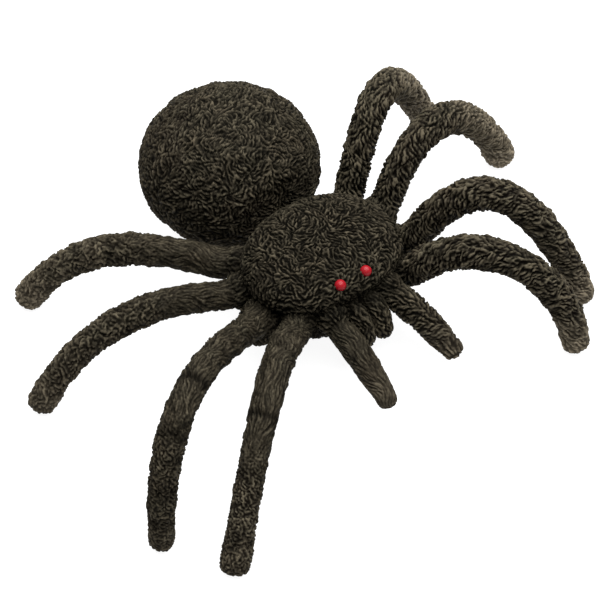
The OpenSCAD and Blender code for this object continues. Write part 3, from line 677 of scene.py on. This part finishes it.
def leg_line(side, n):
    """The sleeve's line, and at each point its radius and share of the arch. The level root begins
    behind the pin, the arch follows, and the bend between them is smoothed. The radius is the
    ball's near the pin, slim under the carapace and the table's beyond, and it closes like a
    ball past the foot."""
    share = np.linspace(0, 1, ARCH_SAMPLES)
    curve = arch(side, n, share)
    beyond = np.linspace(0.02, 1, PAST_SAMPLES)
    past = curve[-1] + np.outer(beyond, unit(curve[-1] - curve[-8])) * FOOT_PAST
    root = np.stack([np.linspace(-BALL_RADIUS, SHOULDER, ROOT_SAMPLES, endpoint=False),
                     np.full(ROOT_SAMPLES, HIP_HEIGHT)], -1)
    rough = np.concatenate([root, curve, past])
    length = np.concatenate([[0], np.cumsum(np.linalg.norm(np.diff(rough, axis=0), axis=1))])
    fine = np.arange(0, length[-1], LINE_STEP)
    line = np.stack([smooth(np.interp(fine, length, rough[:, k]), LINE_BELL) for k in range(2)], -1)
    line[:, 0] += np.interp(fine, [0, START_HELD], [rough[0, 0] - line[0, 0], 0])
    arch_share = np.interp(fine, length[ROOT_SAMPLES:ROOT_SAMPLES + ARCH_SAMPLES], share)
    from_pin = fine - BALL_RADIUS
    wide = smooth(np.interp(arch_share, WIDTH_SHARES, WIDTHS[side, n]), WIDTH_BELL) - FUR_DEPTH
    slim = np.interp(from_pin, [SLIM_FROM, SLIM_TO], [1.0, 0.0])
    wide = wide + (ROOT_RADIUS - wide) * slim
    ball = np.sqrt(np.maximum(BALL_RADIUS ** 2 - from_pin ** 2, 0))
    wide = np.maximum(ball, wide * np.clip((from_pin + 1) / ROOT_OPENS, 0, 1) ** 0.5)
    to_end = (fine[-1] - fine) / wide[-1]
    wide = wide * np.sqrt(1 - np.clip(1 - to_end, 0, 1) ** 2)
    wide[[0, -1]] = 0
    return line, wide, arch_share


def leg_folds(side, n, share):
    """Crests, creases and guard at shares of the arch. A crease is a bell curve about its own share,
    and the guard keeps the sleeve over the knee's fork."""
    s, k = SIDES[side], n - 1
    crease = sum(depth * np.exp(-((share - at) / CREASE) ** 2) for at, depth in s["crease"][k])
    guard = KNEE_GUARD * (np.abs(share - KNEE_SHARE) < GUARD_SHARE)
    return tuft_crests(share, s["tuft"]), crease, smooth(guard, GUARD_BELL)


print("leg lines: thigh and shin have", TUFT_ROWS, "rows of", TUFTS_ROUND, "tufts each")


# %% Leg skins
BROAD_LUMPS, FINE_LUMPS, FINE_SHARE, FINE_SEED, FOLD_POWER = 7, 3.2, 0.6, 50, 4


def outline_share(line, radius):
    """The share of a limb's outline at each point of its line, by the outline's length so far."""
    steps = np.hypot(np.linalg.norm(np.diff(line, axis=0), axis=1), np.diff(radius))
    return np.concatenate([[0], np.cumsum(steps)]) / steps.sum()


def tube(line, radius, heading, across, pin, lumps, seed, sole, crests=0.0, crease=0.0, guard=0.0):
    """The skin of a limb. The line is a run of [out, up] points with a radius at each; u runs at
    even lengths of the outline, and v turns the radius about the line in the plane square to it.
    Crests stand off it by turns round it, waves make it lumpy, it is nowhere slimmer than the
    guard, a crease folds its top line, and no point is below the sole."""
    even = outline_share(line, radius)
    run = np.gradient(line, axis=0)
    slope = np.unwrap(np.arctan2(run[:, 1], run[:, 0]))
    crests, crease, guard = (q + np.zeros(len(line)) for q in (crests, crease, guard))

    def surface(u, v):
        out, up, lean, wide, crest, fold, least = (np.interp(u, even, q) for q in (
            line[:, 0], line[:, 1], slope, radius, crests, crease, guard))
        turn = 2 * np.pi * v
        wide = wide + crest * np.cos(TUFTS_ROUND * turn)

        def at(r):
            away = out - r * np.sin(turn) * np.sin(lean)
            high = up + r * np.sin(turn) * np.cos(lean)
            aside = r * np.cos(turn)
            return (pin + away[..., None] * heading + aside[..., None] * across
                    + high[..., None] * np.array([0, 0, 1.0]))

        broad = waves(at(wide), BROAD_LUMPS, seed)
        bumps = 1 + lumps * (broad + FINE_SHARE * waves(at(wide), FINE_LUMPS, seed + FINE_SEED))
        top = np.maximum(np.sin(turn), 0) ** FOLD_POWER
        points = at(np.maximum(wide * bumps, least) - fold * top)
        points[..., 2] = np.maximum(points[..., 2], sole)
        return points

    return surface


print("a limb's skin has lumps of", BROAD_LUMPS, "and", FINE_LUMPS, "mm")

# %% [markdown]
# ## The legs' fur
# On the real toy the right legs are combed from the root and turn matted towards the foot, with
# creases across the two in front, and the left legs are tangled into bigger tufts. The feet have
# worn pale. Paint could show all this, but the fur is raised, so its direction, height and kind
# change along the leg. The material gets the paling of the feet and shins, partly wear and partly
# painted light, with painted shade in the creases and a lighter tone on matted fur.

# %% How the fur lies, and how it is paled by wear and painted light
WAVER, WAVER_LENGTH = 0.35, 12
CALM_HEIGHTS = [4, 16]
WEAR_AND_LIGHT_TOP, WEAR_AND_LIGHT_FADE = 1.2, 18


def leg_comb(slant, seed):
    """Fur that slants away from the limb's top line on both sides, and wavers as it goes."""
    def comb(place, v, along, aside):
        angle = (WAVER * waves(place, WAVER_LENGTH, seed) - slant * np.cos(2 * np.pi * v))[:, None]
        return along * np.cos(angle) + aside * np.sin(angle)

    return comb


def foot_calm(least):
    """The fur is rubbed down low on the feet, to this share of its height."""
    return lambda place: np.interp(place[:, 2], CALM_HEIGHTS, [least, 1.0])


def foot_wear_and_light(amount):
    """Paling, partly by rubbing and partly as painted light, that fades out from the floor up to the
    ankle.
    """
    return lambda points: amount * np.clip(WEAR_AND_LIGHT_TOP - points[:, 2] / WEAR_AND_LIGHT_FADE, 0, 1)


def leg_wear_and_light(side, n):
    """How pale the leg is, partly by rubbing and partly as painted light: the foot's paling, or the
    shin's where that is more: it fades out from the foot to the knee.
    """
    foot, shin = SIDES[side]["wear_and_light"][n - 1]
    heading, _, pin = leg_heading(side, n)
    knee, end = arch(side, n, KNEE_SHARE)[0], SIDES[side]["reach"][n - 1]

    def worn_and_lit(points):
        out = np.clip(((points - pin) @ heading - knee) / (end - knee), 0, 1)
        return np.maximum(foot_wear_and_light(foot)(points), shin * out ** 0.5)

    return worn_and_lit


print("the feet's wear ends", WEAR_AND_LIGHT_TOP * WEAR_AND_LIGHT_FADE, "mm above the floor")

# %% Leg sleeves
LEG_GRID, LIMB_LUMPS, SOLE, FUR_FLOOR = (380, 100), 0.03, 0.1, 0.05
MATTED_FOOT, TANGLED_FOOT = 0.9, 0.5
KNEE_BEFORE, KNEE_AFTER, KNEE_BEND = 0.495, 0.505, 6
LEG_SEED, LEG_COMB_SEED = 100, 20

for side, s in SIDES.items():
    for n in (1, 2, 3, 4):
        heading, across, pin = leg_heading(side, n)
        line, radius, share = leg_line(side, n)
        crests, crease, guard = leg_folds(side, n, share)
        seed = LEG_SEED + 10 * n + s["sign"]
        slant, *fur = s["fur"][n - 1]
        mat_from, kind = s["mat"][n - 1] or (1.0, None)
        mat = np.clip((share - mat_from) / MATTED_OVER, 0, 1)
        # Painted shade darkens the ridges in the creases, and matted fur is a little lighter in tone
        light = (1 - CREASE_SHADE * crease) * (1 + MATTED_LIGHT * mat)
        even = outline_share(line, radius)
        skin = tube(line, radius, heading, across, pin, LIMB_LUMPS, seed, SOLE, crests, crease, guard)
        sleeve = add_fur(f"{side}_leg_{n}_sleeve", furry(
            skin, *LEG_GRID, leg_comb(slant, LEG_COMB_SEED + n), seed, *fur,
            calm=foot_calm(MATTED_FOOT if kind else TANGLED_FOOT), floor=FUR_FLOOR,
            shade=lambda u: np.interp(u, even, light),
            matted=(lambda u: np.interp(u, even, mat), kind) if kind else None),
            leg_wear_and_light(side, n), s["tone"][n - 1])
        knee = arch(side, n, KNEE_SHARE)
        ahead = unit(arch(side, n, KNEE_AFTER) - arch(side, n, KNEE_BEFORE))
        bend = [in_frame(pin + q[0] * heading + np.array([0, 0, q[1]]))
                for q in (knee - KNEE_BEND * ahead, knee + KNEE_BEND * ahead)]
        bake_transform(sleeve)
        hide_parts(f"{side}_leg_{n}_thigh_skin", f"{side}_leg_{n}_shin_skin")

# %% [markdown]
# ## Coxae
# Where a leg leaves the body the rubber swells into a short collar, the coxa, and the collars run
# together into a band below the carapace's rim.

# %% Coxae
COXA_FROM, COXA_HELD, COXA_DRAWN = -2.0, 0.0, 8.0
COXA_SAMPLES, COXA_ROUNDING, COXA_GRID = 120, 4.0, (48, 96)
COXA_SLANT, COXA_COMB_SEED, COXA_SEED = 0.4, 61, 300
# How far a collar reaches from the pin, its radius and how far it hangs below the pin's middle
COXA, PALP_COXA = (9.0, 5.9, 0.0), (8.0, 5.4, 0.0)
FULLER_COXAE = {("right", 2): (14.0, 7.0, 3.0), ("left", 3): (13.0, 6.6, 0.5)}


def coxa_line(to, wide, drop):
    """A level line with a radius that rounds off at both ends like a ball."""
    out = np.linspace(COXA_FROM, to, COXA_SAMPLES)
    end = np.minimum(out - COXA_FROM, to - out) / COXA_ROUNDING
    radius = wide * np.sqrt(1 - np.clip(1 - end, 0, 1) ** 2)
    return np.stack([out, np.full(COXA_SAMPLES, HIP_HEIGHT - drop)], -1), radius


def add_coxa(name, limb, heading, across, pin, size, seed):
    """One furry collar on a limb's root."""
    line, radius = coxa_line(*size)
    skin = tube(line, radius, heading, across, pin, LIMB_LUMPS, seed, SOLE)
    coxa = add_fur(name, furry(skin, *COXA_GRID, leg_comb(COXA_SLANT, COXA_COMB_SEED), seed))
    bend = [in_frame(pin + out * heading + np.array([0, 0, HIP_HEIGHT]))
            for out in (COXA_HELD, COXA_DRAWN)]
    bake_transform(coxa)


for side, s in SIDES.items():
    for n in (1, 2, 3, 4):
        add_coxa(f"{side}_leg_{n}_coxa", f"{side}_thigh_{n}", *leg_heading(side, n),
                 FULLER_COXAE.get((side, n), COXA), COXA_SEED + 10 * n + s["sign"])

# %% [markdown]
# ## Pedipalps and chelicerae
# The two short feelers beside the mouth, the pedipalps, are made like the legs. The right one is
# combed smooth and the left one is tangled. Between them hang the chelicerae, two stout furry lobes
# with round ends, the left one a little fuller. All four are profiles on a path, as the legs are.

# %% Pedipalps
PALP_X, PALP_Y, PALP_TIP = 12.0, -14.0, 10.0
# Sign of the side, angle from straight ahead, reach, how light the ridges are and how the fur lies
PALPS = {"right": (-1, 0, 38.0, 0.75, COMBED), "left": (1, 17, 35.0, 1.0, TANGLED)}
PALP_BOW, PALP_PAST, PALP_BALL = 2.35, 2.8, 4.2
PALP_SAMPLES, PALP_PAST_SAMPLES, PALP_GRID = 260, 30, (130, 90)
PALP_SHARES = (0, 0.12, 0.35, 0.6, 0.8, 1)
PALP_WIDTHS = (4.3, 4.5, 5.4, 5.2, 4.8, 3.9)
# The first of these pales the palps' tips, partly by wear and partly as painted light
PALP_WEAR_AND_LIGHT, PALP_SEED, PALP_FUR_SEED, PALP_COMB_SEED, PALP_COXA_SEED = 0.35, 70, 71, 31, 400


def palp_line(reach):
    """A straight fall from the pin to the tip, bowed up by half a sine, with a ball on the pin and a
    round end past the tip; and the radius at each point, from the table of widths."""
    share = np.concatenate([[-BALL_RADIUS / reach], np.linspace(-0.1, 1, PALP_SAMPLES)])
    out = share * (reach - PALP_PAST)
    up = (HIP_HEIGHT + (PALP_TIP - HIP_HEIGHT) * np.clip(share, 0, 1)
          + PALP_BOW * np.sin(np.pi * np.clip(share, 0, 1)))
    past = np.linspace(0.05, 1, PALP_PAST_SAMPLES)
    fall = unit(np.array([out[-1] - out[-9], up[-1] - up[-9]]))
    out = np.concatenate([out, out[-1] + PALP_PAST * past * fall[0]])
    up = np.concatenate([up, up[-1] + PALP_PAST * past * fall[1]])
    wide = np.interp(np.concatenate([share, 1 + past * 0]), PALP_SHARES, PALP_WIDTHS) - FUR_DEPTH
    ball = np.sqrt(np.maximum(PALP_BALL ** 2 - out ** 2, 0))
    wide = np.maximum(ball, wide * np.clip((out + 1) / ROOT_OPENS, 0, 1) ** 0.5)
    wide[-PALP_PAST_SAMPLES:] = wide[-PALP_PAST_SAMPLES - 1] * np.sqrt(1 - past ** 2)
    wide[[0, -1]] = 0
    return np.stack([out, up], -1), wide


for side, (sign, yaw, reach, tone, (slant, *fur)) in PALPS.items():
    turn = math.radians(yaw)
    heading = np.array([sign * math.sin(turn), -math.cos(turn), 0.0])
    across = np.cross([0, 0, 1], heading)
    pin = np.array([sign * PALP_X, PALP_Y, 0.0])
    line, radius = palp_line(reach)
    skin = tube(line, radius, heading, across, pin, LIMB_LUMPS, PALP_SEED + sign, SOLE)
    palp = add_fur(f"pedipalp_{side}_sleeve", furry(
        skin, *PALP_GRID, leg_comb(slant, PALP_COMB_SEED), PALP_FUR_SEED + sign, *fur),
        foot_wear_and_light(PALP_WEAR_AND_LIGHT), tone)
    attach(palp, f"pedipalp_{side}")
    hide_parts(f"pedipalp_{side}")
    add_coxa(f"pedipalp_{side}_coxa", f"pedipalp_{side}", heading, across, pin, PALP_COXA,
             PALP_COXA_SEED + sign)

# %% Chelicerae
# Each lobe's distance from the middle and how full it is
CHELICERAE = {"right": (3.5, 1.0), "left": (4.1, 1.12)}
CHELICERA_LINE = np.array([[12.0, 24.5], [15.5, 24.8], [19.0, 24.8], [22.2, 23.4], [24.6, 20.6],
                           [25.9, 17.8], [26.4, 15.6], [26.5, 14.0], [26.5, 12.8]])
CHELICERA_RADII = np.array([0.0, 2.8, 3.3, 3.5, 3.3, 3.1, 3.1, 2.6, 0.0])
CHELICERA_SAMPLES, PATH_BELL, RADIUS_BELL, UNDER_FUR = 240, 10, 7, 0.3
ROUND_FROM, ROUND_OVER = 0.88, 0.12
CHELICERA_GRID, CHELICERA_LUMPS, CHELICERA_FUR, CHELICERA_SLANT = (90, 60), 0.05, 0.7, 0.3
CHELICERA_SEED, CHELICERA_FUR_SEED, CHELICERA_COMB_SEED = 80, 81, 33
AHEAD, ASIDE = np.array([0, -1.0, 0]), np.array([1.0, 0, 0])

fine = np.linspace(0, 1, CHELICERA_SAMPLES)
rough = np.linspace(0, 1, len(CHELICERA_LINE))
line = np.stack([smooth(np.interp(fine, rough, CHELICERA_LINE[:, k]), PATH_BELL) for k in range(2)], -1)
for side, s in SIDES.items():
    beside, full = CHELICERAE[side]
    radius = full * smooth(np.interp(fine, rough, CHELICERA_RADII), RADIUS_BELL) - UNDER_FUR
    radius *= np.sqrt(1 - np.clip((fine - ROUND_FROM) / ROUND_OVER, 0, 1) ** 2)
    radius[[0, -1]] = 0
    pin = np.array([s["sign"] * beside, 0.0, 0.0])
    skin = tube(line, radius, AHEAD, ASIDE, pin, CHELICERA_LUMPS, CHELICERA_SEED + s["sign"], SOLE)
    lobe = add_fur(f"chelicera_{side}_fur", furry(
        skin, *CHELICERA_GRID, leg_comb(CHELICERA_SLANT, CHELICERA_COMB_SEED),
        CHELICERA_FUR_SEED + s["sign"], tall=CHELICERA_FUR))
    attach(lobe, "root")
    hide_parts(f"chelicera_{side}")

# %% [markdown]
# ## Waist
# A short neck of soft rubber joins the abdomen to the body and hides the link inside.

# %% Waist neck
NECK_RADIUS, NECK_FROM, NECK_TO, NECK_HIGH = 7.5, 24.0, 36.0, 0.6
NECK_ROUNDING, DRAWN_IN, DRAWN_AT, DRAWN_OVER = 0.35, 0.18, 0.55, 0.12
NECK_HELD, NECK_DRAWN, NECK_GRID, NECK_FUR = 27.5, 32.5, (40, 110), 0.6
NECK_COMB_SEED, NECK_SEED = 41, 42


def waist_neck(u, v):
    """A drum along Y, wider than high. Its radius is a low power of half a sine, which rises from
    nothing at each end, and a bell curve draws it in near the middle."""
    bell = np.exp(-((u - DRAWN_AT) / DRAWN_OVER) ** 2)
    rise = np.sin(np.pi * u) ** NECK_ROUNDING * (1 - DRAWN_IN * bell)
    turn = 2 * np.pi * v
    return np.stack(np.broadcast_arrays(
        NECK_RADIUS * rise * np.cos(turn), NECK_FROM + (NECK_TO - NECK_FROM) * u + 0 * turn,
        HIP_HEIGHT + NECK_HIGH * NECK_RADIUS * rise * np.sin(turn)), -1)


neck = add_fur("waist_neck", furry(
    waist_neck, *NECK_GRID, leg_comb(0.0, NECK_COMB_SEED), NECK_SEED, tall=NECK_FUR))
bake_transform(neck)

# %% [markdown]
# ## Studio
# The toy stands on a plain white floor in soft light from all round, with one broad lamp above it.
# The light is strong enough that the floor is white and only the feet leave faint shadows.

# %% Floor, world and lamp
FLOOR_HALF, FLOOR_GREY, WHITE = 40.0, (0.2, 0.2, 0.2, 1), (1, 1, 1, 1)
FLOOR_GLOW, ROOM_GLOW = 0.92, 0.4
LAMP_PLACE, LAMP_AIM, LAMP_SIZE, LAMP_POWER = (0.25, 0.05, 1.5), (0, 0, 0.02), 2.0, 95

floor_mesh = bpy.data.meshes.new("studio_floor")
floor_mesh.from_pydata([(-FLOOR_HALF, -FLOOR_HALF, 0), (FLOOR_HALF, -FLOOR_HALF, 0),
                        (FLOOR_HALF, FLOOR_HALF, 0), (-FLOOR_HALF, FLOOR_HALF, 0)], [],
                       [(0, 1, 2, 3)])
floor_material, floor_start = blank_material("studio_floor")
finish_material(floor_start, {"Base Color": FLOOR_GREY, "Roughness": 0.9,
                              "Specular IOR Level": 0.1, "Emission Color": WHITE,
                              "Emission Strength": FLOOR_GLOW})
floor_mesh.materials.append(floor_material)
floor = bpy.data.objects.new("studio_floor", floor_mesh)
bpy.context.scene.collection.objects.link(floor)

world = bpy.data.worlds.new("soft_room")
world.use_nodes = True
world.node_tree.nodes["Background"].inputs["Color"].default_value = WHITE
world.node_tree.nodes["Background"].inputs["Strength"].default_value = ROOM_GLOW
bpy.context.scene.world = world


def add_lamp(name, place, aim, size, power):
    """A square lamp at a place, turned so that it shines at a point."""
    data = bpy.data.lights.new(name, "AREA")
    data.size, data.energy = size, power
    lamp = bpy.data.objects.new(name, data)
    lamp.location = place
    way = np.asarray(aim, float) - np.asarray(place, float)
    lamp.rotation_euler = (math.acos(-way[2] / np.linalg.norm(way)), 0,
                           math.atan2(way[1], way[0]) - math.pi / 2)
    bpy.context.scene.collection.objects.link(lamp)
    print(f"{name}: {size} m wide, {power} W")


add_lamp("broad_lamp", LAMP_PLACE, LAMP_AIM, LAMP_SIZE, LAMP_POWER)
bpy.context.scene.view_settings.view_transform = "Standard"
